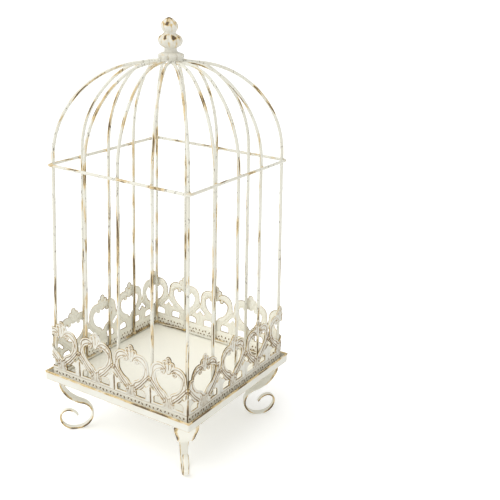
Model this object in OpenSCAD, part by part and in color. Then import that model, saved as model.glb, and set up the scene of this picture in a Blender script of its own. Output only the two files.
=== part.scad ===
// Wedding card box in the form of an antique wire birdcage: a square domed cage that
// lifts off a shallow sheet-metal tray standing on four scroll legs.
// Units are millimetres, +Z is up, and the origin is on the ground under the centre.
// The front faces -Y. "s" runs along the gallery strip from the front right corner.

/* [Tray] */
// Outside width of the tray across its rolled lip
tray_w = 231.4; // [228:0.2:234]
// Height of the tray's underside above the ground
tray_bottom = 77; // [75:1:80]
// Height of the tray from its underside to the top of its lip
tray_h = 12.5; // [11:0.5:14]
// Sheet thickness of the tray
tray_sheet = 1.6; // [1.4:0.1:2]
// How far the lip stands out from the tray's wall
lip_overhang = 0.7; // [0.5:0.1:1.5]

/* [Gallery] */
// Outside width of the pierced gallery around the foot of the cage
gallery_w = 215.6; // [214:0.4:218]
// Thickness of the gallery's sheet
gallery_sheet = 0.8; // [0.6:0.1:1.2]
// Height of the gallery's plain beaded band
band_h = 14.5; // [13:0.5:15.5]
// Length of one repeat of the heart pattern
pitch = 56.8; // [56:0.1:57.4]

/* [Cage] */
// Diameter of the upright wires
wire_d = 4; // [3:0.1:4.2]
// Diameter of the square hoop around the wires
hoop_d = 3.8; // [2.4:0.1:4]
// Distance between opposite rows of wires where the dome starts, on their centre lines
spring_span = 200; // [196:1:204]
// Height of the dome's spring line
spring_z = 368.5; // [350:0.5:390]
// Rise of the dome from the spring line to the wires' tops
dome_rise = 116.5; // [110:0.5:125]
// Height of the square hoop
hoop_z = 362.3; // [340:0.1:366]

/* [Finial] */
// Diameter of the rosette cap
cap_d = 31; // [28:0.5:34]
// Diameter of the lower bulb
bulb_d = 29; // [26:0.5:32]
// Diameter of the upper bulb
bud_d = 20.6; // [18:0.5:23]

/* [Legs] */
// Thickness of the leg's flat strip
leg_t = 3; // [2.4:0.1:3.4]
// Width of the leg where it meets the tray
leg_top_w = 32; // [28:1:36]
// Width of the leg's lower scroll
leg_w = 7.6; // [6.8:0.2:9]

/* [Hidden] */
$fn = 48;
sheet_gap = 0.3;

tray_top = tray_bottom + tray_h;
floor_z = tray_bottom + tray_sheet;
wall_w = tray_w - 2 * lip_overhang;
lip_h = 1.8;

// The strip's landmarks above the ground: where neighbouring hearts part, the centre and
// radius of each heart's two lobes, and the palmette's tip
join_z = 126.5;
waist_z = 137.5;
lobe_z = 139;
lobe_r = 13.5;
lobe_u = 13;
leaf_r = 3.7;
palmette_r = 4.6;
palmette_z = 157.8;
band_top = floor_z + band_h;
face_len = gallery_w;
strip_len = 4 * face_len;
regular_cells = 14;
last_cell = strip_len - regular_cells * pitch;

foot_z = floor_z + sheet_gap + wire_d / 2;
foot_span = gallery_w - 2 * gallery_sheet - wire_d;
crown_z = spring_z + dome_rise;
// The wires stop where the closest two, a corner wire and its neighbour, still clear
closest_turn = 45 - atan(0.5);
hub_r = wire_d / 2 / sin(closest_turn / 2) + 0.35;
crown_t = 1.5;
crown_top = crown_z + wire_d / 2 + crown_t;
screw_d = 4;
bore_d = 4.4;

SIDES = ["front", "right", "back", "left"];
CORNERS = ["front_right", "back_right", "back_left", "front_left"];
PLACES = ["a", "b", "c"];
STEEL = [0.93, 0.91, 0.86];
BAR_NODES = [for (s = SIDES) for (p = PLACES) str(s, "_bar_", p)];
CORNER_NODES = [for (c = CORNERS) str(c, "_corner_bar")];
GALLERY_NODES = [for (s = SIDES) str(s, "_gallery")];
HOOP_NODES = [for (s = SIDES) str(s, "_hoop_wire")];
RING_NODES = [for (s = SIDES) str(s, "_foot_wire")];
LEG_NODES = [for (c = CORNERS) str(c, "_leg")];

// ---------------------------------------------------------------- tray and legs

module square_band(outer, inner, z0, z1) {
    difference() {
        translate([-outer / 2, -outer / 2, z0]) cube([outer, outer, z1 - z0]);
        translate([-inner / 2, -inner / 2, z0 - 1]) cube([inner, inner, z1 - z0 + 2]);
    }
}

// Folded sheet tray with a raised wall and a rolled lip
module tray_pan() {
    color(STEEL) union() {
        translate([-wall_w / 2, -wall_w / 2, tray_bottom]) cube([wall_w, wall_w, tray_sheet]);
        square_band(wall_w, wall_w - 2 * tray_sheet, tray_bottom, tray_top);
        square_band(tray_w, wall_w - 2 * tray_sheet, tray_top - lip_h, tray_top);
    }
}

// A leg's centre line: arcs joined end to end, each [radius, turn], a right turn negative
leg_start = [146, tray_bottom];
leg_heading = -96;
LEG_ARCS = [[45, -64], [19.6, 150], [32, 20], [18, 80], [9.5, 110], [17, 48]];
arc_step = 10;

function arc_end(p, h, arc) =
    let (side = sign(arc[1]), c = p + arc[0] * side * [-sin(h), cos(h)], k = h + arc[1])
    c + arc[0] * side * [sin(k), -cos(k)];
function arc_points(p, h, arc, shift) =
    let (
        side = sign(arc[1]),
        c = p + arc[0] * side * [-sin(h), cos(h)],
        n = ceil(abs(arc[1]) / arc_step)
    )
    [for (i = [1:n])
        let (k = h + arc[1] * i / n)
        c + (arc[0] - side * shift) * side * [sin(k), -cos(k)]];
function leg_side(shift, p = leg_start, h = leg_heading, i = 0) =
    i == len(LEG_ARCS) ? [] : concat(
        arc_points(p, h, LEG_ARCS[i], shift),
        leg_side(shift, arc_end(p, h, LEG_ARCS[i]), h + LEG_ARCS[i][1], i + 1)
    );
function reversed(list) = [for (i = [len(list) - 1:-1:0]) list[i]];

// The strip seen from the side; its top is carried a little into the tray and cut off there
module leg_profile() {
    across = leg_t / 2 * [-sin(leg_heading), cos(leg_heading)];
    along = 4 * [cos(leg_heading), sin(leg_heading)];
    polygon(concat(
        [leg_start - across - along, leg_start + across - along],
        leg_side(leg_t / 2),
        reversed(leg_side(-leg_t / 2))
    ));
}

// The strip seen from its outer side: broad at the tray and narrow in the scroll
module leg_silhouette() {
    side = [
        [leg_top_w / 2, tray_bottom], [leg_top_w * 0.45, 68], [leg_top_w * 0.395, 60],
        [leg_top_w * 0.33, 52], [leg_top_w * 0.28, 46], [leg_w * 0.95, 41],
        [leg_w * 0.78, 34], [leg_w * 0.66, 25], [leg_w * 0.57, 15], [leg_w / 2, 8], [leg_w / 2, 0]
    ];
    polygon(concat(side, [for (p = reversed(side)) [-p[0], p[1]]]));
}

module leg(corner) {
    color(STEEL) rotate([0, 0, -45 + 90 * corner]) intersection() {
        translate([0, leg_top_w, 0]) rotate([90, 0, 0])
            linear_extrude(height = 2 * leg_top_w) leg_profile();
        translate([80, 0, 0]) rotate([90, 0, 90])
            linear_extrude(height = 90) leg_silhouette();
    }
}

// ---------------------------------------------------------------- pierced gallery

function cell_width(i) = i < regular_cells ? pitch : last_cell;
function cell_middle(i) = i * pitch + cell_width(i) / 2;

// Heart-shaped opening: two half ellipses, drawn down to a tip at the bottom and in to a
// notch at the top, with a curl standing in each shoulder. It stretches with its cell.
heart_half_w = 19;
heart_z = 135.5;
heart_drop = 20;
heart_rise = 8.5;
heart_tip = 5.5;
heart_notch = 4;
curl_u = 8.6;
curl_z = 141.3;
curl_r = 3.2;
heart_points = 72;
module heart_opening(stretch) {
    scale_u = stretch * heart_half_w;
    difference() {
        polygon([for (i = [0:heart_points - 1])
            let (
                t = 360 * i / heart_points,
                u = cos(t) * heart_half_w,
                reach = sin(t) > 0 ? heart_rise : heart_drop,
                pull = sin(t) > 0 ? heart_notch * exp(-pow(u / 4.5, 2)) : heart_tip * exp(-pow(u / 3.2, 2))
            )
            [cos(t) * scale_u, heart_z + sin(t) * reach - pull]]);
        for (side = [-1, 1]) translate([side * curl_u, curl_z]) circle(r = curl_r, $fn = 24);
    }
}

// One heart with its palmette, above the level where neighbouring hearts part
module heart_plate(half) {
    waist = half - 2;
    polygon([
        [-half, join_z - 1], [half, join_z - 1], [half, join_z], [waist, waist_z],
        [waist - 0.5, lobe_z], [5, palmette_z - 4], [-5, palmette_z - 4],
        [-waist + 0.5, lobe_z], [-waist, waist_z], [-half, join_z]
    ]);
    for (side = [-1, 1]) {
        translate([side * lobe_u, lobe_z]) circle(r = lobe_r);
        translate([side * 5.2, palmette_z - 5]) circle(r = leaf_r);
    }
    translate([0, palmette_z]) circle(r = palmette_r);
}

// Openings under the valley where two hearts meet: a chevron and two small arches
chevron_z = 123;
arch_v = 13.4;
arch_half_w = 6.6;
arch_z = 102.8;
arch_rise = 3.4;
module valley_openings() {
    polygon([
        [0, chevron_z], [7.9, chevron_z - 8.6], [6.4, chevron_z - 11.2],
        [0, chevron_z - 5.4], [-6.4, chevron_z - 11.2], [-7.9, chevron_z - 8.6]
    ]);
    for (side = [-1, 1]) translate([side * arch_v, 0]) {
        translate([-arch_half_w, band_top + 3.7]) square([2 * arch_half_w, arch_z - band_top - 3.7]);
        translate([0, arch_z]) scale([1, arch_rise / arch_half_w]) circle(r = arch_half_w - 0.02);
    }
}

module strip_outline(from, to) {
    intersection() {
        union() {
            translate([from, floor_z]) square([to - from, join_z - floor_z]);
            for (i = [0:regular_cells]) if (abs(cell_middle(i) - (from + to) / 2) < face_len / 2 + pitch)
                translate([cell_middle(i), 0]) heart_plate(cell_width(i) / 2);
        }
        translate([from, 0]) square([to - from, 200]);
    }
}

// One side's piece of the strip, in strip coordinates, without its openings at the corners
module strip_piece(from, to) {
    margin = 1.6;
    difference() {
        strip_outline(from, to);
        intersection() {
            union() {
                for (i = [0:regular_cells]) if (abs(cell_middle(i) - (from + to) / 2) < face_len / 2 + pitch) {
                    translate([cell_middle(i), 0]) heart_opening(cell_width(i) / pitch);
                    translate([i * pitch, 0]) valley_openings();
                }
                translate([strip_len, 0]) valley_openings();
            }
            translate([from + margin, 0]) square([to - from - 2 * margin, 200]);
        }
    }
}

// The strip runs clockwise seen from above: front, left, back, right
STRIP_ORDER = [0, 3, 2, 1];
module gallery(side) {
    from = STRIP_ORDER[side] * face_len;
    inset = side % 2 == 0 ? 0 : gallery_sheet;
    color(STEEL) rotate([0, 0, 90 * side])
        translate([face_len / 2, -gallery_w / 2, 0]) mirror([1, 0, 0])
        rotate([90, 0, 0]) translate([-from, 0, -gallery_sheet])
        linear_extrude(height = gallery_sheet) strip_piece(from + inset, from + face_len - inset);
}

// ---------------------------------------------------------------- wires

// A straight wire along one side of a square, its ends mitred into its neighbours
module side_wire(side, half, z, d) {
    color(STEEL) rotate([0, 0, 90 * side]) intersection() {
        translate([-half - d, -half, z]) rotate([0, 90, 0])
            cylinder(h = 2 * (half + d), d = d);
        translate([0, 0, z - d]) linear_extrude(height = 2 * d)
            polygon([[0, 0], [-half - d, -half - d], [half + d, -half - d]]);
    }
}

foot_half = foot_span / 2;
hoop_half = spring_span / 2 + 0.25 + wire_d / 2 + hoop_d / 2;

// An upright wire in the vertical plane through the axis. Its foot stands "reach" from the
// axis; it leans in to the spring line and turns over in two tangent arcs to the crown.
module upright(reach, angle) {
    spring_r = reach * spring_span / foot_span;
    top_r = 0.176 * spring_r;
    a = spring_r - top_r;
    r_upper = 0.73 * a;
    r_lower = (a * a + dome_rise * dome_rise - 2 * dome_rise * r_upper) / (2 * (a - r_upper));
    c_lower = [spring_r - r_lower, spring_z];
    c_upper = [top_r, crown_z - r_upper];
    turn = atan2(c_upper[1] - c_lower[1], c_upper[0] - c_lower[0]);
    foot = [reach, foot_z + wire_d / 2];
    to_foot = [foot[0] - c_lower[0], c_lower[1] - foot[1]];
    lean = acos(r_lower / norm(to_foot)) - atan2(to_foot[1], to_foot[0]);
    straight = norm(foot - (c_lower + r_lower * [cos(lean), sin(lean)]));
    color(STEEL) rotate([0, 0, angle]) {
        translate([foot[0], 0, foot[1]]) rotate([0, -lean, 0]) cylinder(h = straight, d = wire_d);
        wire_arc(c_lower, r_lower, lean, turn, wire_d - bend_step);
        wire_arc(c_upper, r_upper, turn, 90, wire_d - 2 * bend_step);
        translate([hub_r, 0, crown_z]) rotate([0, 90, 0]) cylinder(h = top_r - hub_r, d = wire_d);
    }
}

// Each bend is drawn a hair thinner than its neighbour and runs a little way into it, so
// that the pieces of a wire join without sharing a face
bend_step = 0.06;
bend_overlap = 0.5;
module wire_arc(centre, r, from, to, d) {
    extra = bend_overlap / r * 180 / PI;
    translate([centre[0], 0, centre[1]]) rotate([90, 0, 0]) rotate([0, 0, from - extra])
        rotate_extrude(angle = to - from + 2 * extra, $fn = 180) translate([r, 0]) circle(d = d, $fn = 48);
}

module side_bar(side, place) {
    off = (place - 1) * foot_span / 4;
    upright(norm([foot_half, off]), 90 * side - 90 + atan2(off, foot_half));
}

module corner_bar(corner) {
    upright(foot_half * sqrt(2), -45 + 90 * corner);
}

// ---------------------------------------------------------------- crown and finial

module crown_disc() {
    color(STEEL) difference() {
        translate([0, 0, crown_top - crown_t]) cylinder(h = crown_t, r = cap_d / 2 - 0.8);
        translate([0, 0, crown_top - crown_t - 1]) cylinder(h = crown_t + 2, d = bore_d);
    }
}

petals = 8;
petal_r = 4.4;
cap_h = 8.5;
neck_d = 15;
// Rosette with eight petals, cast with a bore for the screw
module finial_cap() {
    color(STEEL) translate([0, 0, crown_top]) difference() {
        union() {
            cylinder(h = cap_h - 2, r = cap_d / 2 - 2.5);
            for (i = [0:petals - 1]) rotate([0, 0, 360 / petals * i])
                translate([cap_d / 2 - petal_r, 0, 0]) cylinder(h = cap_h - 3, r = petal_r);
            cylinder(h = cap_h, r = neck_d / 2 + 1.5);
        }
        translate([0, 0, -1]) cylinder(h = cap_h + 2, d = bore_d);
    }
}

screw_reach = 12;
// Turned two-bulb finial standing on the cap
module finial() {
    bulb_z = 14.3;
    bud_z = 29.8;
    color(STEEL) translate([0, 0, crown_top + cap_h]) difference() {
        union() {
            cylinder(h = 8, d = neck_d);
            intersection() {
                translate([0, 0, bulb_z]) sphere(d = bulb_d);
                translate([0, 0, 5.5]) cylinder(h = 17.6, d = bulb_d);
            }
            cylinder(h = bud_z, d = 12);
            translate([0, 0, bud_z]) sphere(d = bud_d);
        }
        translate([0, 0, -1]) cylinder(h = screw_reach + 1, d = bore_d);
    }
}

// Pan-head screw up through the disc and the cap into the finial
module finial_screw() {
    head_d = 7.6;
    head_h = 2.6;
    shank = crown_t + cap_h + screw_reach - 1;
    color([0.7, 0.68, 0.62]) translate([0, 0, crown_top - crown_t]) {
        cylinder(h = shank, d = screw_d);
        translate([0, 0, -head_h]) difference() {
            cylinder(h = head_h, d = head_d);
            translate([0, 0, -0.1]) rotate([0, 0, 45]) translate([-2, -0.5, 0]) cube([4, 1, 1.5]);
        }
    }
}

// ---------------------------------------------------------------- assembly

tray_pan();
for (i = [0:3]) {
    leg(i);
    gallery(i);
    side_wire(i, foot_half, foot_z, wire_d);
    side_wire(i, hoop_half, hoop_z, hoop_d);
    corner_bar(i);
    for (j = [0:2])
        side_bar(i, j);
}
crown_disc();
finial_cap();
finial();
finial_screw();
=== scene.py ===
import math

import bpy
import numpy as np
from mathutils import Matrix, Vector, noise


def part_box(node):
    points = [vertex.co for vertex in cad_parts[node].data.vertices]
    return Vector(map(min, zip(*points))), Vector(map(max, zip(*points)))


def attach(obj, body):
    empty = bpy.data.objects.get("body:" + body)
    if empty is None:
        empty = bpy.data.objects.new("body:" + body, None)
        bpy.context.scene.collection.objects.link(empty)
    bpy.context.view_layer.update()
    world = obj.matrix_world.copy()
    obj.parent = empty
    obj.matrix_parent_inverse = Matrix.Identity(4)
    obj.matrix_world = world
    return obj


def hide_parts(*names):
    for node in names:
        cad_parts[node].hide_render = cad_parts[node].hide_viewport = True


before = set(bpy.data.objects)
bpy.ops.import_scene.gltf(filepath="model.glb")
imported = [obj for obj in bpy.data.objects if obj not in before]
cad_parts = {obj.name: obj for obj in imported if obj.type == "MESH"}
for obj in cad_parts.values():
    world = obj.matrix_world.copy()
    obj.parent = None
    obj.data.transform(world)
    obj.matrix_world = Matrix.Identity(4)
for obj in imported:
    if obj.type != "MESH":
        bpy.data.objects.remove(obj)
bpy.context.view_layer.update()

MM = 0.001

# ------------------------------------------------------------------ sizes, in millimetres
# Places come from the frame; the rest repeats the driving dimensions of the design.


def low(node, axis):
    """Lowest coordinate of a CAD node along an axis."""
    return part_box(node)[0][axis] / MM


def high(node, axis):
    """Highest coordinate of a CAD node along an axis."""
    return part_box(node)[1][axis] / MM


TRAY_HALF = high("tray_pan", 0)
TRAY_BOTTOM = low("tray_pan", 2)
TRAY_TOP = high("tray_pan", 2)
TRAY_SHEET = 1.6
LIP_OVERHANG = 0.7
FLOOR_Z = TRAY_BOTTOM + TRAY_SHEET

GALLERY_HALF = high("front_gallery", 0)
GALLERY_SHEET = 0.8
FACE_LEN = 2 * GALLERY_HALF
STRIP_LEN = 4 * FACE_LEN
PITCH = 56.8
REGULAR_CELLS = 14
BAND_TOP = FLOOR_Z + 14.5
JOIN_Z = 126.5

WIRE_R = 2.0
FOOT_Z = high("front_foot_wire", 2)
FOOT_HALF = high("front_foot_wire", 0) - WIRE_R
SPRING_HALF = 100.0
SPRING_Z = 368.5
CROWN_Z = high("front_bar_b", 2) - WIRE_R
HUB_R = WIRE_R / math.sin(math.radians(45 - math.degrees(math.atan(0.5))) / 2) + 0.35
HOOP_R = (high("front_hoop_wire", 2) - low("front_hoop_wire", 2)) / 2
HOOP_Z = high("front_hoop_wire", 2) - HOOP_R
HOOP_HALF = high("front_hoop_wire", 0) - HOOP_R

CAP_Z = low("finial_cap", 2)
CAP_R = high("finial_cap", 0)
FINIAL_TOP = high("finial", 2)

SIDES = ["front", "right", "back", "left"]
CORNERS = ["front_right", "back_right", "back_left", "front_left"]


# ------------------------------------------------------------------ mesh helpers

def add_piece(name, verts, faces, body, material, masks=None, replaced=(), smooth=True):
    """A mesh piece from points in millimetres. masks gives named values for each point."""
    mesh = bpy.data.meshes.new(name)
    mesh.from_pydata((np.asarray(verts, float) * MM).tolist(), [], faces)
    for mask, values in (masks or {}).items():
        layer = mesh.attributes.new(mask, "FLOAT", "POINT")
        layer.data.foreach_set("value", np.clip(np.asarray(values, np.float32), 0, 1))
    if smooth:
        mesh.polygons.foreach_set("use_smooth", [True] * len(mesh.polygons))
    mesh.materials.append(material)
    mesh.update()
    piece = bpy.data.objects.new(name, mesh)
    bpy.context.scene.collection.objects.link(piece)
    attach(piece, body)
    if replaced:
        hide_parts(*replaced)
    return piece


def tube_faces(rings, sides, closed=False):
    """Quads between successive rings of points, and caps where the tube is open."""
    faces = []
    for i in range(rings if closed else rings - 1):
        a, b = i * sides, (i + 1) % rings * sides
        for j in range(sides):
            k = (j + 1) % sides
            faces.append((a + j, a + k, b + k, b + j))
    if not closed:
        faces.append(tuple(reversed(range(sides))))
        faces.append(tuple(range((rings - 1) * sides, rings * sides)))
    return faces


def wander(x, y, z, seed, scale):
    """Smooth noise from -1 to 1 at a point in millimetres."""
    return noise.noise(Vector((x / scale + seed * 17.3, y / scale - seed * 7.1, z / scale + seed)))


def smoothstep(low_edge, high_edge, x):
    """From 0 at one edge to 1 at the other, level at both. The edges may be in either order."""
    t = np.clip((x - low_edge) / (high_edge - low_edge), 0, 1)
    return t * t * (3 - 2 * t)


# ------------------------------------------------------------------ materials

def linear(*rgb):
    """sRGB colour from 0 to 255, as linear values with alpha."""
    out = [((c / 255 + 0.055) / 1.055) ** 2.4 if c > 10 else c / 3294 for c in rgb]
    return (*out, 1.0)


IVORY = linear(219, 218, 209)
IVORY_SHADE = linear(211, 206, 191)
# Paler ivory, used only as painted light on faces that lie in shade.
IVORY_PAINTED_LIGHT = linear(244, 242, 231)
WIRE_IVORY = linear(221, 220, 209)
GOLD_WASH = linear(204, 172, 100)
PALE_GOLD = linear(208, 181, 126)
GREY_WASH = linear(166, 138, 92)
BROWN = linear(78, 61, 42)


class Graph:
    """A material's node tree with short calls for the nodes that the paints use."""

    def __init__(self, name):
        self.material = bpy.data.materials.new(name)
        self.material.use_nodes = True
        self.tree = self.material.node_tree
        self.shader = self.tree.nodes["Principled BSDF"]
        self.coord = self.tree.nodes.new("ShaderNodeTexCoord").outputs["Object"]

    def node(self, kind, **inputs):
        made = self.tree.nodes.new(kind)
        for key, value in inputs.items():
            self.feed(made.inputs[key.replace("_", " ")], value)
        return made

    def feed(self, socket, value):
        if isinstance(value, bpy.types.NodeSocket):
            self.tree.links.new(value, socket)
        else:
            socket.default_value = value

    def noise(self, scale, detail=4.0, rough=0.6, stretch=(1, 1, 1)):
        mapping = self.node("ShaderNodeMapping", Vector=self.coord, Scale=stretch)
        made = self.node("ShaderNodeTexNoise", Vector=mapping.outputs[0], Scale=scale,
                         Detail=detail, Roughness=rough)
        return made.outputs["Fac"]

    def mask(self, name):
        made = self.tree.nodes.new("ShaderNodeAttribute")
        made.attribute_name = name
        return made.outputs["Fac"]

    def math(self, operation, a, b=0.0):
        made = self.tree.nodes.new("ShaderNodeMath")
        made.operation = operation
        self.feed(made.inputs[0], a)
        self.feed(made.inputs[1], b)
        return made.outputs[0]

    def ramp(self, value, start, end, to_min=0.0, to_max=1.0):
        made = self.tree.nodes.new("ShaderNodeMapRange")
        made.interpolation_type = "SMOOTHSTEP"
        for socket, x in zip(made.inputs, (value, start, end, to_min, to_max)):
            self.feed(socket, x)
        return made.outputs[0]

    def mix(self, factor, a, b):
        made = self.tree.nodes.new("ShaderNodeMix")
        made.data_type = "RGBA"
        self.feed(made.inputs["Factor"], factor)
        colours = [s for s in made.inputs if s.type == "RGBA"]
        self.feed(colours[0], a)
        self.feed(colours[1], b)
        return next(s for s in made.outputs if s.type == "RGBA")

    def bump(self, height, strength, distance):
        made = self.node("ShaderNodeBump", Height=height, Strength=strength, Distance=distance)
        self.feed(self.shader.inputs["Normal"], made.outputs[0])


def antique_paint(name, glaze_and_shade=1.0, chips=1.0, stretch=(1, 1, 1), base=IVORY, glaze_tint=GOLD_WASH,
                  stray_from=0.8):
    """Ivory paint over a gold-brown ground. Three masks drive it: where the glaze has gathered,
    together with painted shade on the gallery's right side; where the paint is rubbed
    through, together with a painted shadow line along the tray's bottom edge; and painted
    light, which lightens the paint towards a paler ivory on faces in shade. Small chips lie
    anywhere that their noise is over stray_from."""
    g = Graph(name)
    broad = g.noise(24, 3)
    blotch = g.noise(150, 5, 0.65, stretch)
    fine = g.noise(800, 3, 0.7, stretch)
    uneven = g.math("MULTIPLY", g.math("SUBTRACT", blotch, 0.5), 0.9)
    grain = g.math("MULTIPLY", g.math("SUBTRACT", fine, 0.5), 0.7)
    colour = g.mix(g.ramp(broad, 0.35, 0.7, 0, 0.55), base, IVORY_SHADE)
    colour = g.mix(g.ramp(fine, 0.5, 0.8, 0, 0.3), colour, IVORY_SHADE)
    # Painted light: the paint is lightened towards the paler ivory where its mask is high.
    colour = g.mix(g.math("MULTIPLY", g.mask("painted_light"), 0.95), colour, IVORY_PAINTED_LIGHT)
    glaze = g.math("ADD", g.math("MULTIPLY", g.mask("glaze_and_shade"), glaze_and_shade), uneven)
    glazed = g.ramp(glaze, 0.26, 0.66)
    colour = g.mix(g.math("MULTIPLY", glazed, 0.88), colour, glaze_tint)
    dark = g.ramp(g.math("ADD", glaze, grain), 0.62, 1.0)
    colour = g.mix(g.math("MULTIPLY", dark, 0.9), colour, BROWN)
    rub = g.math("ADD", g.math("MULTIPLY", g.mask("wear_and_shade"), chips), uneven)
    rubbed = g.ramp(rub, 0.34, 0.7)
    colour = g.mix(g.math("MULTIPLY", rubbed, 0.85), colour, GOLD_WASH)
    chipped = g.ramp(g.math("ADD", rub, grain), 0.66, 0.92)
    stray = g.ramp(g.math("ADD", g.noise(310, 3, 0.6, stretch), grain), stray_from, stray_from + 0.06)
    chipped = g.math("MAXIMUM", chipped, g.math("MULTIPLY", stray, 0.8))
    colour = g.mix(g.math("MULTIPLY", chipped, 0.95), colour, BROWN)
    g.feed(g.shader.inputs["Base Color"], colour)
    rough = g.math("ADD", g.ramp(fine, 0.2, 0.8, 0.38, 0.54), g.math("MULTIPLY", glazed, 0.12))
    g.feed(g.shader.inputs["Roughness"], rough)
    height = g.math("SUBTRACT", g.math("ADD", fine, g.math("MULTIPLY", blotch, 1.5)),
                    g.math("MULTIPLY", chipped, 1.2))
    g.bump(height, 0.35, 0.0003)
    g.shader.inputs["Specular IOR Level"].default_value = 0.4
    return g.material


def plated_steel():
    """Dull zinc plate with fine turning marks, for the hidden screw."""
    g = Graph("zinc_plate")
    fine = g.noise(1400, 4, 0.6, (1, 1, 6))
    colour = g.mix(g.ramp(fine, 0.3, 0.7), linear(176, 172, 160), linear(140, 134, 120))
    g.feed(g.shader.inputs["Base Color"], colour)
    g.feed(g.shader.inputs["Roughness"], g.ramp(fine, 0.2, 0.8, 0.28, 0.5))
    g.shader.inputs["Metallic"].default_value = 0.9
    g.bump(fine, 0.2, 0.0002)
    return g.material


# ------------------------------------------------------------------ tray

def rounded_square(half, radius, per_side, per_corner):
    """Points round a square with rounded corners, from the front right corner clockwise seen
    from above."""
    points = []
    for k in range(4):
        turn = Matrix.Rotation(-math.pi / 2 * k, 2)
        for i in range(per_corner):
            a = math.radians(45 - 45 * i / per_corner)
            x = half - radius + radius * math.sin(a)
            points.append(turn @ Vector((x, -half + radius - radius * math.cos(a))))
        for i in range(per_side + 1):
            x = (half - radius) * (1 - 2 * i / per_side)
            points.append(turn @ Vector((x, -half)))
        for i in range(1, per_corner):
            a = math.radians(45 * i / per_corner)
            x = -half + radius - radius * math.sin(a)
            points.append(turn @ Vector((x, -half + radius - radius * math.cos(a))))
    return points


def tray_profile():
    """The tray's section as (half width, height, corner radius, glaze and painted shade,
    rubbing and painted shade), from the middle of the floor outwards, over the rolled lip and
    back underneath to the middle."""
    wall = TRAY_HALF - LIP_OVERHANG
    inner = wall - TRAY_SHEET
    roll = (TRAY_HALF - inner) / 2
    mid = TRAY_HALF - roll
    rows = [(4 + (GALLERY_HALF - 6) * i / 22, FLOOR_Z, 1, 0, 0) for i in range(23)]
    rows += [(GALLERY_HALF - 1, FLOOR_Z, 1, 0.3, 0), (GALLERY_HALF + 0.5, FLOOR_Z, 1, 0.3, 0)]
    rows += [(inner - 1.6, FLOOR_Z, 1.1, 0.3, 0), (inner - 0.5, FLOOR_Z + 0.4, 1.2, 0.4, 0)]
    rows += [(inner, FLOOR_Z + 1.6, 1.3, 0.3, 0), (inner, TRAY_TOP - 4.5, 1.3, 0.2, 0)]
    for i in range(9):
        a = math.radians(180 - 27.5 * i)
        wear_and_shade = 0.66 + 0.7 * smoothstep(3.5, 5.5, i)
        rows.append((mid + roll * math.cos(a), TRAY_TOP - roll + roll * math.sin(a), 1.6, 0.1, wear_and_shade))
    rows += [(wall + 0.05, TRAY_TOP - 2.3 * roll, 1.4, 0.5, 0.5)]
    rows += [(wall, TRAY_TOP - 2.8 * roll, 1.4, 0.1, 0)]
    # The bottom edge is rubbed, and its dark brown line is also painted shade, standing for the
    # shadow line under the tray.
    rows += [(wall, TRAY_BOTTOM + 3.5, 1.4, 0, 0.05), (wall, TRAY_BOTTOM + 1, 1.4, 0.1, 0.4)]
    rows += [(wall - 0.4, TRAY_BOTTOM + 0.2, 1.3, 0.5, 1.2), (wall - 1.3, TRAY_BOTTOM, 1.2, 0.1, 0.4)]
    rows += [(wall - 2 - (wall - 6) * i / 10, TRAY_BOTTOM, 1, 0.1, 0) for i in range(11)]
    return rows


def make_tray(material):
    """One sheet that runs over the floor, the rolled lip and the underside. Its floor is
    slightly dented, its sides bow, and its lip is rubbed down to the gold, and in long
    stretches to the brown."""
    verts = []
    masks = {"glaze_and_shade": [], "wear_and_shade": [], "painted_light": []}
    rows = tray_profile()
    golden = 0.62
    for half, z, radius, glaze_and_shade, wear_and_shade in rows:
        inside = z > TRAY_BOTTOM + 1
        for p in rounded_square(half, min(radius, half / 2), 48, 5):
            floor = inside and half < GALLERY_HALF - 8
            dent = 0.28 * wander(p.x, p.y, z, 3, 70) if floor else 0
            bow = 0.12 * wander(p.x, p.y, 0, 5, 60)
            verts.append((p.x * (1 - abs(bow) / 300), p.y * (1 - abs(bow) / 300), z + dent))
            stretch = smoothstep(0.02, 0.3, wander(p.x, p.y, 0, 8, 34))
            masks["glaze_and_shade"].append(glaze_and_shade * (0.75 + 0.35 * wander(p.x, p.y, z, 9, 30)))
            # Painted light: the floor and the inside of the wall are lightened, as if more brightly
            # lit.
            masks["painted_light"].append(float(inside and half < TRAY_HALF - 3))
            masks["wear_and_shade"].append(min(wear_and_shade, golden + (wear_and_shade - golden) * stretch))
    faces = tube_faces(len(rows), len(verts) // len(rows))
    add_piece("tray_pan_sheet", verts, faces, "base", material, masks, ["tray_pan"])


# ------------------------------------------------------------------ scroll legs

LEG_START = (146.0, TRAY_BOTTOM)
LEG_HEADING = -96.0
LEG_ARCS = [(45.0, -64.0), (19.6, 150.0), (32.0, 20.0), (18.0, 80.0), (9.5, 110.0), (17.0, 48.0)]
LEG_THICKNESS = 3.0
LEG_TOP_HALF = 16.0
LEG_TAPER = [(0, 16), (0.05, 14.8), (0.1, 12.6), (0.2, 9.9), (0.25, 8.6), (0.3, 7.4), (0.36, 6.4),
             (0.42, 5.7), (0.5, 5.0), (0.6, 4.3), (0.8, 3.8), (1, 3.5)]
LEG_TWIST = [0.085, -0.03, 0.04, -0.05]


def leg_path(step=2.0):
    """Points and headings along the leg's centre line, in its diagonal plane."""
    x, z = LEG_START
    heading = LEG_HEADING
    path = [(x, z, heading)]
    for radius, turn in LEG_ARCS:
        count = max(4, round(abs(turn) * math.pi / 180 * radius / step))
        sign = 1 if turn > 0 else -1
        for i in range(1, count + 1):
            h0 = math.radians(heading)
            h1 = math.radians(heading + turn * i / count)
            path.append((x + sign * radius * (math.sin(h1) - math.sin(h0)),
                         z - sign * radius * (math.cos(h1) - math.cos(h0)), math.degrees(h1)))
        x, z, heading = path[-1]
    return path


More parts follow.
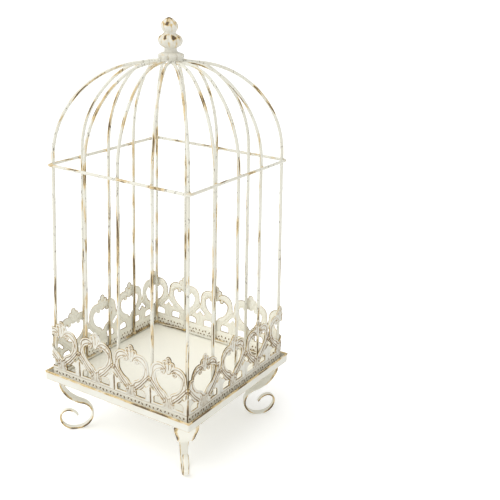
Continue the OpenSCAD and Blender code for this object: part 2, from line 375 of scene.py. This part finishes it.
def make_leg(corner, material):
    """One strip with rounded, rubbed edges, hammered and slightly dished, twisted a little
    by hand, and broad only where it meets the tray."""
    path = leg_path()
    across = 9
    verts = []
    masks = {"glaze_and_shade": [], "wear_and_shade": [], "painted_light": []}
    for i, (x, z, heading) in enumerate(path):
        along = i / (len(path) - 1)
        half = np.interp(along, *zip(*LEG_TAPER))
        h = math.radians(heading)
        normal = Vector((-math.sin(h), math.cos(h)))
        thick = LEG_THICKNESS / 2 * (1 - 0.25 * smoothstep(0.8, 1, along))
        ring = []
        for side in (1, -1):
            for j in range(across):
                t = (1 - 2 * j / (across - 1)) * side
                edge = abs(t)
                crown = thick * (1 - 0.62 * edge ** 6)
                dish = -0.7 * (half / LEG_TOP_HALF) * (1 - t * t)
                ring.append((t * half, side * crown + dish, edge))
        for w, off, edge in ring:
            beat = 0.16 * wander(x, w, z, corner + 2, 7)
            px = x + normal.x * (off + beat)
            pz = max(0.0, z + normal.y * (off + beat))
            if z > TRAY_BOTTOM - 3:
                pz = min(pz, TRAY_BOTTOM - 0.02)
            w += LEG_TWIST[corner] * (LEG_START[0] - px)
            a = math.radians(-45 + 90 * corner)
            verts.append((px * math.cos(a) - w * math.sin(a), px * math.sin(a) + w * math.cos(a), pz))
            patch = wander(x, w, z, corner + 11, 16)
            masks["wear_and_shade"].append(smoothstep(0.5, 0.95, edge) * (0.74 + 0.9 * patch))
            masks["glaze_and_shade"].append(0.05 + 0.45 * max(0.0, patch) * (1 if off < 0 else 0.5))
            # Painted light: the whole strip is lightened for its shaded faces, more above 12 mm where
            # it runs under the tray.
            masks["painted_light"].append(0.6 if z > 12 else 0.4)
    faces = tube_faces(len(path), 2 * across)
    name = CORNERS[corner] + "_leg"
    piece = add_piece(name + "_scroll", verts, faces, "base", material, masks, [name])
    soften = piece.modifiers.new("soften", "SUBSURF")
    soften.levels = soften.render_levels = 1


# ------------------------------------------------------------------ pierced gallery

LOBE_U, LOBE_Z, LOBE_R = 13.0, 139.0, 13.5
PALMETTE_Z, PALMETTE_R, LEAF_R = 157.8, 4.6, 3.7
HEART_HALF_W, HEART_Z, HEART_DROP, HEART_RISE = 19.0, 135.5, 20.0, 8.5
CURL_U, CURL_Z, CURL_R = 8.6, 141.3, 3.2
ARCH_V, ARCH_HALF, ARCH_Z, ARCH_RISE = 13.4, 6.6, 102.8, 3.4
SILL_Z = BAND_TOP + 3.7
GRID = 0.65


def heart_curve(count=72):
    """Outline of a heart opening: half ellipses with a notch above and a drawn tip below."""
    t = np.linspace(0, 2 * np.pi, count, endpoint=False)
    u = HEART_HALF_W * np.cos(t)
    upper = HEART_RISE * np.sin(t) - 4 * np.exp(-((u / 4.5) ** 2))
    lower = HEART_DROP * np.sin(t) - 5.5 * np.exp(-((u / 3.2) ** 2))
    return np.stack([u, HEART_Z + np.where(np.sin(t) > 0, upper, lower)], 1)


def outline_distance(u, z, points):
    """Signed distance to a closed outline, negative inside."""
    best = np.full(u.shape, 1e9)
    inside = np.zeros(u.shape, bool)
    for a, b in zip(points, np.roll(points, -1, 0)):
        e = b - a
        t = np.clip(((u - a[0]) * e[0] + (z - a[1]) * e[1]) / (e @ e), 0, 1)
        best = np.minimum(best, np.hypot(u - a[0] - t * e[0], z - a[1] - t * e[1]))
        crosses = (a[1] > z) != (b[1] > z)
        with np.errstate(divide="ignore", invalid="ignore"):
            at = a[0] + (z - a[1]) / (b[1] - a[1]) * e[0]
        inside ^= crosses & (u < at)
    return np.where(inside, -best, best)


def line_distance(u, z, a, b):
    """Distance to a straight stroke from a to b."""
    e = (b[0] - a[0], b[1] - a[1])
    t = np.clip(((u - a[0]) * e[0] + (z - a[1]) * e[1]) / (e[0] ** 2 + e[1] ** 2), 0, 1)
    return np.hypot(u - a[0] - t * e[0], z - a[1] - t * e[1])


def blend_min(a, b, width):
    """Union of two distances with a rounded inner corner."""
    h = np.clip(0.5 + 0.5 * (b - a) / width, 0, 1)
    return b * (1 - h) + a * h - width * h * (1 - h)


def bead(distance, centre, width):
    """A rounded ridge that runs at a given distance from an outline."""
    return np.exp(-(((distance - centre) / width) ** 2))


def strip_shape(s, z):
    """For points on the strip, s along it and z above the ground: the signed distance to its
    outline, negative in the metal, the height of its embossing, where glaze gathers, and the
    band's dots, which show on both faces."""
    cell = np.minimum(np.floor(s / PITCH), REGULAR_CELLS)
    width = np.where(cell < REGULAR_CELLS, PITCH, STRIP_LEN - REGULAR_CELLS * PITCH)
    half = width / 2
    across = s - cell * PITCH - half
    u = np.abs(across)
    v = half - u
    heart = outline_distance(u * PITCH / width, z, heart_curve())
    lobe = np.hypot(u - LOBE_U, z - LOBE_Z) - LOBE_R
    waist = half - 2 * np.clip((z - JOIN_Z) / 11, 0, 1)
    shoulder = np.maximum(u - waist, z - LOBE_Z)
    neck = np.maximum(u - 5, z - PALMETTE_Z + 4)
    tip = np.hypot(u * 1.12, (z - PALMETTE_Z) * (1 - 0.08 * (z > PALMETTE_Z))) - PALMETTE_R
    leaf = np.hypot(u - 5.4, (z - PALMETTE_Z + 4.6) * 0.9) - LEAF_R
    plate = np.minimum(z - JOIN_Z, shoulder)
    plate = blend_min(plate, lobe, 1.0)
    palmette = np.minimum(np.minimum(tip, leaf), neck)
    outer = blend_min(plate, palmette, 1.0)
    curl = np.hypot(u - CURL_U, z - CURL_Z) - CURL_R
    heart_hole = np.maximum(heart, -curl)
    chevron = line_distance(v, z, (0, 120.3), (6.2, 114.0)) - 1.8
    dv, dz = v - ARCH_V, z - ARCH_Z
    round_top = np.hypot(dv / ARCH_HALF, dz / ARCH_RISE)
    steep = np.hypot(dv / ARCH_HALF ** 2, dz / ARCH_RISE ** 2) / np.maximum(round_top, 0.1)
    arch = np.where(dz > 0, (round_top - 1) / np.maximum(steep, 0.12),
                    np.maximum(np.abs(dv) - ARCH_HALF, SILL_Z - z))
    distance = np.maximum(outer, -np.minimum(np.minimum(heart_hole, chevron), arch))

    on_heart = smoothstep(JOIN_Z - 9, JOIN_Z - 3, z)
    height = 1.1 * bead(plate, -1.3, 0.95) * on_heart
    height = np.maximum(height, 1.1 * bead(heart, 1.3, 0.95))
    height = np.maximum(height, 0.8 * bead(np.minimum(tip, leaf), -1.0, 0.8))
    height = np.maximum(height, 0.9 * bead(np.abs(curl + 1.5), 0, 0.8) * (heart < 1.5))
    height = np.maximum(height, 0.7 * bead(curl, -CURL_R, 1.0))
    stroke = np.minimum(line_distance(v, z, (0, 126.5), (13.5, 111.0)),
                        line_distance(v, z, (13.5, 111.0), (21.5, 104)))
    height = np.maximum(height, 1.3 * bead(stroke, 1.4, 0.85))
    climb = np.clip((z - BAND_TOP - 1) / (109 - BAND_TOP), 0, 1)
    fan = 1.9 * u / (0.62 + 0.38 * climb ** 1.5)
    in_sheaf = (smoothstep(8.6, 8.0, u) * smoothstep(111, 109, z)
                * smoothstep(BAND_TOP + 0.5, SILL_Z - 1, z))
    height = np.maximum(height, (0.5 + 0.5 * np.cos(fan)) * in_sheaf)
    height = np.maximum(height, 0.6 * bead(arch, 1.1, 0.7))
    rib = line_distance(v, z, (0, BAND_TOP + 1), (0, 115.5))
    height = np.maximum(height, 1.3 * bead(rib, 0, 1.2))
    midrib = bead(line_distance(u, z, (0, 145.5), (0, 159.5)), 0, 0.55)
    leaf_rib = bead(line_distance(u, z, (3.2, 146.5), (5.6, 153.5)), 0, 0.55)
    height = height - 0.55 * midrib
    height = height - 0.4 * leaf_rib
    vein = 0.5 + 0.5 * np.cos(np.arctan2(z - 130.5, u) * 22)
    between = smoothstep(2.2, 3.4, heart) * smoothstep(-2.2, -3.4, plate) * on_heart
    height = height + 0.35 * vein * between
    height = np.where(z < BAND_TOP, 0, height)
    height = np.maximum(height, 0.7 * bead(z, FLOOR_Z + 1.4, 0.8))
    height = np.maximum(height, 0.6 * bead(z, BAND_TOP + 1.2, 1.2))
    dash = PITCH / 10
    dimple = np.full(s.shape, 1e9)
    for row, shift in ((FLOOR_Z + 4.2, 0.0), (FLOOR_Z + 9.4, dash / 2)):
        x = (s - shift) % dash - dash / 2
        tilt = np.sin(np.floor((s - shift) / dash) * 2.4 + row)
        leant = x - 0.7 * tilt * (z - row) - 0.5 * tilt
        dimple = np.minimum(dimple, np.hypot(leant / 1.1, (z - row + 0.5 * tilt) / 1.55))
    height = height - 0.8 * bead(dimple, 0, 0.9)

    valley = np.where(across > 0, -v, v)
    glaze = 1.15 * bead(plate, -3.0, 0.62) * on_heart
    glaze = np.maximum(glaze, 1.05 * bead(heart, 2.9, 0.6) * smoothstep(-2.6, -4.0, plate))
    glaze = np.maximum(glaze, 1.25 * bead(stroke, 0, 0.7))
    glaze = np.maximum(glaze, 1.2 * bead(stroke, 2.9, 0.6) * smoothstep(0.5, 1.2, chevron))
    glaze = np.maximum(glaze, 1.3 * (0.5 - 0.5 * np.cos(fan)) ** 4 * in_sheaf)
    glaze = np.maximum(glaze, 0.4 * (1 - vein) * between)
    glaze = np.maximum(glaze, np.maximum(1.1 * midrib, 0.9 * leaf_rib))
    glaze = np.maximum(glaze, 0.9 * bead(np.minimum(tip, leaf), -2.4, 0.5) * (z > 146))
    glaze = np.maximum(glaze, 1.15 * bead(curl, 0.2, 0.5) * (heart > 0.6))
    glaze = np.maximum(glaze, bead(curl, -2.2, 0.5))
    side_of_rib = line_distance(valley, z, (-1.9, BAND_TOP + 1.5), (-1.4, 114))
    glaze = np.maximum(glaze, 1.25 * bead(side_of_rib, 0, 0.85))
    dots = 1.6 * smoothstep(1.1, 0.8, dimple)
    glaze = np.maximum(glaze, dots)
    glaze = np.maximum(glaze, 0.6 * bead(z, BAND_TOP - 0.3, 0.5))
    return distance, height, glaze, dots


def strip_place(s, out):
    """The strip's point s along, out from its outer face, folded round the cage."""
    fold = 1.4
    side = np.minimum((s / FACE_LEN).astype(int), 3)
    t = s - side * FACE_LEN
    start = np.clip(1 - t / fold, 0, 1)
    end = np.clip(1 - (FACE_LEN - t) / fold, 0, 1)
    angle = np.pi / 4 * (start - end)
    cx = np.clip(GALLERY_HALF - t, fold - GALLERY_HALF, GALLERY_HALF - fold)
    x = cx + (fold + out) * np.sin(angle)
    y = -GALLERY_HALF + fold - (fold + out) * np.cos(angle)
    turn = -np.pi / 2 * side
    return x * np.cos(turn) - y * np.sin(turn), x * np.sin(turn) + y * np.cos(turn)


def make_gallery(order, side, material):
    """One side's length of the embossed strip, cut from a fine grid whose rim follows the
    outline."""
    columns = round(FACE_LEN / GRID)
    top = PALMETTE_Z + PALMETTE_R + 0.4
    rows = round((top - FLOOR_Z) / GRID)
    s, z = np.meshgrid(np.linspace(0, FACE_LEN, columns + 1) + order * FACE_LEN,
                       np.linspace(FLOOR_Z, top, rows + 1), indexing="ij")
    s_inside = np.clip(s, order * FACE_LEN + 1e-4, (order + 1) * FACE_LEN - 1e-4)
    distance = strip_shape(s_inside, z)[0]
    middle = (distance[:-1, :-1] + distance[1:, :-1] + distance[:-1, 1:] + distance[1:, 1:]) / 4
    kept = middle < 0
    ds, dz = np.gradient(distance, GRID)
    steep = np.maximum(ds ** 2 + dz ** 2, 0.25)
    kept_around = np.zeros(s.shape, int)
    for i, j in ((0, 0), (1, 0), (0, 1), (1, 1)):
        kept_around[i:columns + i, j:rows + j] += kept
    rim = (kept_around > 0) & (kept_around < 4)
    free_s = rim & (s > order * FACE_LEN + 1e-6) & (s < (order + 1) * FACE_LEN - 1e-6)
    free_z = rim & (z > FLOOR_Z + 1e-6)
    shift = np.clip(distance, -GRID, GRID)
    s = s - np.where(free_s, shift * ds / steep, 0)
    z = z - np.where(free_z & (free_s | (np.abs(ds) < 0.5)), shift * dz / steep, 0)

    used = kept_around > 0
    index = np.full(s.shape, -1)
    index[used] = np.arange(used.sum())
    s_used = np.clip(s[used], order * FACE_LEN + 1e-4, (order + 1) * FACE_LEN - 1e-4)
    z_used = z[used]
    distance, height, glaze, dots = strip_shape(s_used, z_used)
    nudge = 0.2
    s_next = np.clip(s_used + nudge, order * FACE_LEN, (order + 1) * FACE_LEN - 1e-4)
    slope = np.hypot(strip_shape(s_next, z_used)[1] - height,
                     strip_shape(s_used, z_used + nudge)[1] - height) / nudge
    layers = []
    for inner in (0.0, GALLERY_SHEET):
        x, y = strip_place(s_used, height - inner)
        layers.append(np.stack([x, y, z_used], 1))
    count = len(s_used)
    quads = []
    edges = {}
    for i, j in np.argwhere(kept):
        a, b, c, d = index[i, j], index[i + 1, j], index[i + 1, j + 1], index[i, j + 1]
        quads.append((d, c, b, a))
        for e in ((d, c), (c, b), (b, a), (a, d)):
            if (e[1], e[0]) in edges:
                del edges[(e[1], e[0])]
            else:
                edges[e] = True
    faces = list(quads)
    faces += [(d + count, c + count, b + count, a + count) for a, b, c, d in quads]
    faces += [(b, a, a + count, b + count) for a, b in edges]
    rubbed = np.exp(-np.maximum(-distance, 0) / 1.15) * smoothstep(BAND_TOP - 1, BAND_TOP + 1, z_used)
    patch = np.array([wander(a, 0, b, 21, 26) for a, b in zip(s_used, z_used)])
    seam = np.minimum(s_used, STRIP_LEN - s_used)
    fold = np.minimum(s_used - order * FACE_LEN, (order + 1) * FACE_LEN - s_used)
    glaze_and_shade = np.maximum(np.clip(slope * 0.14, 0, 0.18), glaze) * (0.9 + 0.5 * patch)
    # Painted shade: the right side, which faces away from the light, gets more glaze all over and
    # more again on its band.
    glaze_and_shade += 0.08 if side == "right" else 0.0
    band = smoothstep(BAND_TOP + 1, BAND_TOP - 1, z_used)
    glaze_and_shade += 0.12 * band if side == "right" else 0.0
    glaze_and_shade = np.maximum(glaze_and_shade, 0.9 * np.exp(-(z_used - FLOOR_Z) / 1.6))
    glaze_and_shade = np.maximum(glaze_and_shade, 1.2 * bead(seam, 0, 1.3) * smoothstep(116, 100, z_used))
    glaze_and_shade = np.maximum(glaze_and_shade, 0.6 * bead(fold, 0, 0.9))
    wear_and_shade = rubbed * (0.8 + 0.8 * patch)
    # Painted light: the inner face gets a fifth of the glaze and is lightened all over, and the outer
    # band is lightened, where shade falls on them.
    masks = {"glaze_and_shade": np.concatenate([glaze_and_shade, np.maximum(glaze_and_shade * 0.2, 0.8 * dots)]),
             "wear_and_shade": np.concatenate([wear_and_shade, wear_and_shade]),
             "painted_light": np.concatenate([band, np.ones(count)])}
    node = side + "_gallery"
    add_piece(node + "_sheet", np.concatenate(layers), faces, "cage", material,
              masks, [node])


# ------------------------------------------------------------------ wires

WIRE_SIDES = 14


def sweep_wire(name, path, normal, radius, nodes, material, seed, closed=False, bow=0.35):
    """A wire along points in one plane: normal is the plane's. Its line wanders a little as
    hand-bent wire does, and its paint is uneven."""
    sides = WIRE_SIDES
    verts = []
    masks = {"glaze_and_shade": [], "wear_and_shade": []}
    count = len(path)
    for i, p in enumerate(path):
        before = path[i - 1] if i or closed else path[0]
        after = path[(i + 1) % count] if i + 1 < count or closed else path[-1]
        along = (after - before).normalized()
        out = along.cross(normal).normalized()
        pull = bow if closed else bow * min(1, i / 12, (count - 1 - i) / 12)
        centre = p + normal * pull * wander(*p, seed, 80) + out * pull * wander(*p, seed + 50, 90)
        lean = 2.5 * wander(*p, seed + 9, 60) + seed
        for j in range(sides):
            a = 2 * math.pi * j / sides
            c, s = math.cos(a), math.sin(a)
            coat = radius * (1 + 0.045 * wander(p.x + 9 * c, p.y + 9 * s, p.z, seed, 6))
            verts.append(centre + coat * (c * out + s * normal))
            patch = wander(p.x, p.y, p.z, seed + 3, 24) + 0.16 * smoothstep(300, 140, p.z)
            glazed_side = smoothstep(0.45, 1.0, math.cos(a - lean))
            rubbed_sides = smoothstep(0.8, 1, abs(math.cos(a - lean - 1.2)))
            masks["glaze_and_shade"].append(0.72 * glazed_side * (0.6 + 1.3 * patch))
            masks["wear_and_shade"].append(1.1 * rubbed_sides * (0.22 + 1.9 * patch))
    faces = tube_faces(count, sides, closed)
    add_piece(name, verts, faces, "cage", material, masks, nodes)


# The dome's bend: its level top is this part of the radius at the spring line, and the
# upper arc's radius is this part of what remains
FLAT_TOP = 0.176
UPPER_BEND = 0.73


def upright_path(reach, angle, step=3.0):
    """An upright's centre line: it leans in from its foot to the spring line and turns over
    to the crown in two tangent arcs, all in the vertical plane at that angle."""
    spring_r = reach * SPRING_HALF / FOOT_HALF
    top_r = FLAT_TOP * spring_r
    rise = CROWN_Z - SPRING_Z
    a = spring_r - top_r
    r_upper = UPPER_BEND * a
    r_lower = (a * a + rise * rise - 2 * rise * r_upper) / (2 * (a - r_upper))
    lower = (spring_r - r_lower, SPRING_Z)
    upper = (top_r, CROWN_Z - r_upper)
    turn = math.atan2(upper[1] - lower[1], upper[0] - lower[0])
    to_foot = (reach - lower[0], lower[1] - FOOT_Z)
    lean = math.acos(r_lower / math.hypot(*to_foot)) - math.atan2(to_foot[1], to_foot[0])
    bend = (lower[0] + r_lower * math.cos(lean), lower[1] + r_lower * math.sin(lean))
    flat = []

    def line(p, q):
        n = max(2, round(math.dist(p, q) / step))
        flat.extend((p[0] + (q[0] - p[0]) * i / n, p[1] + (q[1] - p[1]) * i / n) for i in range(n))

    def arc(c, r, start, end):
        n = max(4, round(abs(end - start) * r / step))
        flat.extend((c[0] + r * math.cos(start + (end - start) * i / n),
                     c[1] + r * math.sin(start + (end - start) * i / n)) for i in range(n))

    line((reach, FOOT_Z), bend)
    arc(lower, r_lower, lean, turn)
    arc(upper, r_upper, turn, math.pi / 2)
    line((top_r, CROWN_Z), (HUB_R, CROWN_Z))
    flat.append((HUB_R, CROWN_Z))
    c, s = math.cos(angle), math.sin(angle)
    return [Vector((r * c, r * s, z)) for r, z in flat]


def make_upright(name, reach, angle, material, seed):
    normal = Vector((-math.sin(angle), math.cos(angle), 0))
    sweep_wire(name + "_wire", upright_path(reach, angle), normal, WIRE_R, [name], material, seed)


def make_uprights(material):
    seed = 1
    for k, side in enumerate(SIDES):
        for j, place in enumerate("abc"):
            off = (j - 1) * FOOT_HALF / 2
            angle = math.radians(90 * k - 90) + math.atan2(off, FOOT_HALF)
            make_upright(f"{side}_bar_{place}", math.hypot(FOOT_HALF, off), angle, material, seed)
            seed += 1
        angle = math.radians(-45 + 90 * k)
        make_upright(CORNERS[k] + "_corner_bar", FOOT_HALF * math.sqrt(2), angle, material, seed)
        seed += 1


def make_square_wire(name, half, z, radius, nodes, material, seed):
    """One wire bent into a square with tight corners."""
    path = [Vector((p.x, p.y, z)) for p in rounded_square(half, 1.8 * radius, 60, 4)]
    sweep_wire(name, path, Vector((0, 0, 1)), radius, nodes, material, seed, closed=True, bow=0.3)


def add_blob(verts, faces, masks, centre, size, seed):
    """A lumpy bead of weld under the paint."""
    rings, sides = 7, 10
    base = len(verts)
    for i in range(rings):
        lat = math.pi * (i + 0.5) / rings - math.pi / 2
        for j in range(sides):
            a = 2 * math.pi * j / sides
            d = Vector((math.cos(lat) * math.cos(a), math.cos(lat) * math.sin(a), math.sin(lat)))
            lump = 1 + 0.22 * wander(d.x * 5, d.y * 5, d.z * 5, seed, 4)
            verts.append(centre + Vector((d.x * size[0], d.y * size[1], d.z * size[2])) * lump)
            masks["glaze_and_shade"].append(0.55 + 0.3 * wander(d.x * 5, d.y * 5, d.z * 5, seed + 4, 5))
            masks["wear_and_shade"].append(0.45)
    for face in tube_faces(rings, sides):
        faces.append(tuple(base + k for k in face))


def make_welds(material):
    """Weld beads where each upright crosses the hoop and where it stands on the foot ring."""
    verts, faces = [], []
    masks = {"glaze_and_shade": [], "wear_and_shade": []}
    seed = 0
    for k in range(4):
        turn = Matrix.Rotation(math.pi / 2 * k, 3, "Z")
        for quarter in range(4):
            off = quarter / 2 - 1
            at_hoop = turn @ Vector((off * SPRING_HALF, -HOOP_HALF + HOOP_R, HOOP_Z))
            at_foot = turn @ Vector((off * FOOT_HALF, -FOOT_HALF, FOOT_Z - 0.3))
            add_blob(verts, faces, masks, at_hoop, (2.7, 2.7, 2.3), seed)
            add_blob(verts, faces, masks, at_foot, (3.0, 3.0, 2.2), seed + 1)
            seed += 2
    add_piece("weld_beads", verts, faces, "cage", material, masks)


# ------------------------------------------------------------------ crown and finial

def revolve(name, rows, shape, body, material, replaced, lean=(0, 0), sides=128):
    """A turned piece whose radius shape(row, angle) varies round it and which leans a little."""
    verts = []
    masks = {"glaze_and_shade": [], "wear_and_shade": []}
    for row in rows:
        for j in range(sides):
            a = 2 * math.pi * j / sides
            r, z, glaze_and_shade, wear_and_shade = shape(row, a)
            rise = z - CAP_Z
            verts.append((r * math.cos(a) - lean[0] * rise, r * math.sin(a) - lean[1] * rise, z))
            masks["glaze_and_shade"].append(glaze_and_shade)
            masks["wear_and_shade"].append(wear_and_shade)
    faces = tube_faces(len(rows), sides)
    add_piece(name, verts, faces, body, material, masks, replaced)


PETALS = 8
BULB_RIBS = 9
BUD_RIBS = 6
FINIAL_LEAN = (0.045, 0.028)
CAP_RISE = 8.3
WAIST_H = 21.8


def make_cap(material):
    """Rosette with rounded petals that stand round a low collar."""
    rows = np.linspace(0, 1, 34)
    bore = 2.4

    def shape(t, a):
        petal = abs(math.cos(PETALS / 2 * a)) ** 0.55
        if t < 0.12:
            k = t / 0.12
            r = bore + (CAP_R - 1.2 - bore) * k
            return r - (1 - petal) * 2.4 * k, CAP_Z + 0.02, 0.3, 0.2
        k = (t - 0.12) / 0.88
        flare = CAP_R * (1 - 0.04 * math.cos(math.pi * min(1, k * 2.2)))
        body = flare if k < 0.45 else np.interp(k, [0.45, 0.62, 0.78, 1.0], [flare, 13.2, 10.4, 8.2])
        scallop = (1 - petal) * (2.6 if k < 0.5 else 2.6 * (1 - k) / 0.5)
        z = CAP_Z + CAP_RISE * np.interp(k, [0, 0.45, 0.62, 0.78, 1.0], [0.0, 0.62, 0.82, 0.9, 1.0])
        groove = (1 - petal) * (1.0 if k < 0.75 else 0.2)
        edge = math.exp(-((k - 0.5) / 0.12) ** 2)
        return min(body - scallop, CAP_R), z, 0.1 + 0.55 * groove, 0.4 * edge * petal

    revolve("finial_cap_rosette", rows, shape, "cage", material, ["finial_cap"])


def make_finial(material):
    """Neck, ribbed bulb and ribbed bud with a small tip. WAIST_H is where the two meet."""
    neck_z = CAP_Z + CAP_RISE
    top_h = FINIAL_TOP - 0.3 - neck_z
    heights = [0, 1.5, 3.0, 4.6, 5.6, 8.2, 13.0, 17.6, 20.2, WAIST_H,
               23.4, 26.2, 29.6, 33.6, 36.6, 38.6, top_h]
    radii = [8.3, 7.6, 7.4, 7.6, 9.6, 13.2, 14.9, 12.8, 8.9, 7.2,
             7.8, 9.8, 10.4, 8.9, 6.0, 3.2, 0.4]
    rows = np.linspace(0, 1, 110)

    def smooth_radius(h):
        i = int(np.clip(np.searchsorted(heights, h) - 1, 0, len(heights) - 2))
        h0, h1 = heights[i], heights[i + 1]
        t = (h - h0) / (h1 - h0)

        def slope(k):
            if k in (0, len(heights) - 1):
                return 0.0
            return (radii[k + 1] - radii[k - 1]) / (heights[k + 1] - heights[k - 1])

        m0, m1 = slope(i) * (h1 - h0), slope(i + 1) * (h1 - h0)
        return ((2 * t ** 3 - 3 * t ** 2 + 1) * radii[i] + (t ** 3 - 2 * t ** 2 + t) * m0
                + (3 * t ** 2 - 2 * t ** 3) * radii[i + 1] + (t ** 3 - t ** 2) * m1)

    def shape(t, a):
        h = t * heights[-1]
        r = max(0.4, smooth_radius(h))
        ribs = BULB_RIBS if h < WAIST_H else BUD_RIBS
        swirl = 0.0 if h < WAIST_H else 0.018 * (h - WAIST_H)
        crest = abs(math.cos(ribs / 2 * (a + swirl)))
        depth = 0.0
        if 4.6 < h < WAIST_H:
            depth = 1.9 * math.sin(math.pi * (h - 4.6) / 17.2) ** 0.8
        elif h >= WAIST_H:
            depth = 1.7 * max(0.0, math.sin(math.pi * min(1, (h - WAIST_H) / 16.9))) ** 0.9
        groove = 1 - crest ** 0.6
        z = neck_z + h
        patch = wander(r * math.cos(a), r * math.sin(a), z, 33, 5)
        glaze_and_shade = 0.2 + 0.75 * groove * (depth > 0.3) + 0.35 * math.exp(-((h - WAIST_H) / 1.2) ** 2)
        upper_ribs = math.exp(-((h - 17.5) / 3.2) ** 2) + math.exp(-((h - 34.5) / 4.0) ** 2)
        wear_and_shade = 0.3 * crest ** 6 + upper_ribs * (0.35 + 1.3 * max(0.0, patch))
        wear_and_shade += 0.6 * math.exp(-((h - heights[-1]) / 2.5) ** 2)
        return r - depth * groove, z, glaze_and_shade * (0.8 + 0.5 * patch), wear_and_shade

    revolve("finial_bulbs", rows, shape, "cage", material, ["finial"], FINIAL_LEAN)


# ------------------------------------------------------------------ stage

CAMERA_TARGET = Vector((-0.0197, 0.2257, 0.1796))
CAMERA_DISTANCE = 1.3287
CAMERA_AZIMUTH = 31.63
CAMERA_ELEVATION = 19.56
CAMERA_ROLL = 2.05
CAMERA_LENS = 62.82


def make_camera():
    """The camera looks along the azimuth and elevation at its target, rolled slightly."""
    az, el = math.radians(CAMERA_AZIMUTH), math.radians(CAMERA_ELEVATION)
    back = Vector((math.sin(az) * math.cos(el), -math.cos(az) * math.cos(el), math.sin(el)))
    right = (-back).cross(Vector((0, 0, 1))).normalized()
    up = right.cross(-back)
    c, s = math.cos(math.radians(CAMERA_ROLL)), math.sin(math.radians(CAMERA_ROLL))
    right, up = right * c + up * s, up * c - right * s
    data = bpy.data.cameras.new("camera")
    data.lens = CAMERA_LENS
    data.sensor_width = 36
    camera = bpy.data.objects.new("camera", data)
    camera.matrix_world = Matrix.Translation(CAMERA_TARGET + back * CAMERA_DISTANCE) @ Matrix(
        (right, up, back)).transposed().to_4x4()
    bpy.context.scene.collection.objects.link(camera)
    bpy.context.scene.camera = camera


def add_sun(towards, angle, strength):
    """A very large soft light: towards points to it, and angle is its width in degrees."""
    data = bpy.data.lights.new("softbox", "SUN")
    data.angle = math.radians(angle)
    data.energy = strength
    light = bpy.data.objects.new("softbox", data)
    light.rotation_euler = Vector(towards).to_track_quat("Z", "Y").to_euler()
    bpy.context.scene.collection.objects.link(light)


def make_stage():
    """Plain pale table lit softly from below, an even pale surround and one large soft light
    from the front left."""
    bpy.ops.mesh.primitive_plane_add(size=30, location=(0, 0, 0))
    floor = bpy.context.object
    floor.name = "floor"
    g = Graph("floor_white")
    grain = g.noise(3, 2)
    g.feed(g.shader.inputs["Base Color"], g.mix(grain, linear(251, 251, 251), linear(253, 253, 253)))
    g.shader.inputs["Roughness"].default_value = 0.9
    g.shader.inputs["Specular IOR Level"].default_value = 0.1
    g.shader.inputs["Emission Color"].default_value = (1, 1, 0.99, 1)
    g.shader.inputs["Emission Strength"].default_value = 0.16
    floor.data.materials.append(g.material)
    world = bpy.data.worlds.new("surround")
    world.use_nodes = True
    world.node_tree.nodes["Background"].inputs["Color"].default_value = (1, 1, 0.985, 1)
    world.node_tree.nodes["Background"].inputs["Strength"].default_value = 0.77
    bpy.context.scene.world = world
    add_sun((-0.3, -0.5, 0.82), 70, 1.55)
    bpy.context.scene.view_settings.view_transform = "Standard"


# ------------------------------------------------------------------ assembly

def paint_cad_nodes(wire_paint):
    """The CAD nodes that stay: the crown disc and the screw under it."""
    for name, material in (("crown_disc", wire_paint), ("finial_screw", plated_steel())):
        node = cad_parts[name]
        node.data.materials.clear()
        node.data.materials.append(material)


wire_paint = antique_paint("wire_paint", stretch=(1, 1, 0.35), base=WIRE_IVORY,
                           glaze_tint=PALE_GOLD, stray_from=0.645)
gallery_paint = antique_paint("gallery_paint", glaze_tint=GREY_WASH)
tray_paint = antique_paint("tray_paint")
leg_paint = antique_paint("leg_paint", chips=1.1)
finial_paint = antique_paint("finial_paint", glaze_and_shade=0.7, chips=1.2)

make_camera()
make_tray(tray_paint)
for corner in range(4):
    make_leg(corner, leg_paint)
for order, side in enumerate(["front", "left", "back", "right"]):
    make_gallery(order, side, gallery_paint)
make_uprights(wire_paint)
hoop_nodes = [side + "_hoop_wire" for side in SIDES]
foot_nodes = [side + "_foot_wire" for side in SIDES]
make_square_wire("hoop_wire", HOOP_HALF, HOOP_Z, HOOP_R, hoop_nodes, wire_paint, 71)
make_square_wire("foot_wire", FOOT_HALF, FOOT_Z - WIRE_R, WIRE_R, foot_nodes, wire_paint, 83)
make_welds(wire_paint)
make_cap(finial_paint)
make_finial(finial_paint)
paint_cad_nodes(wire_paint)
make_stage()
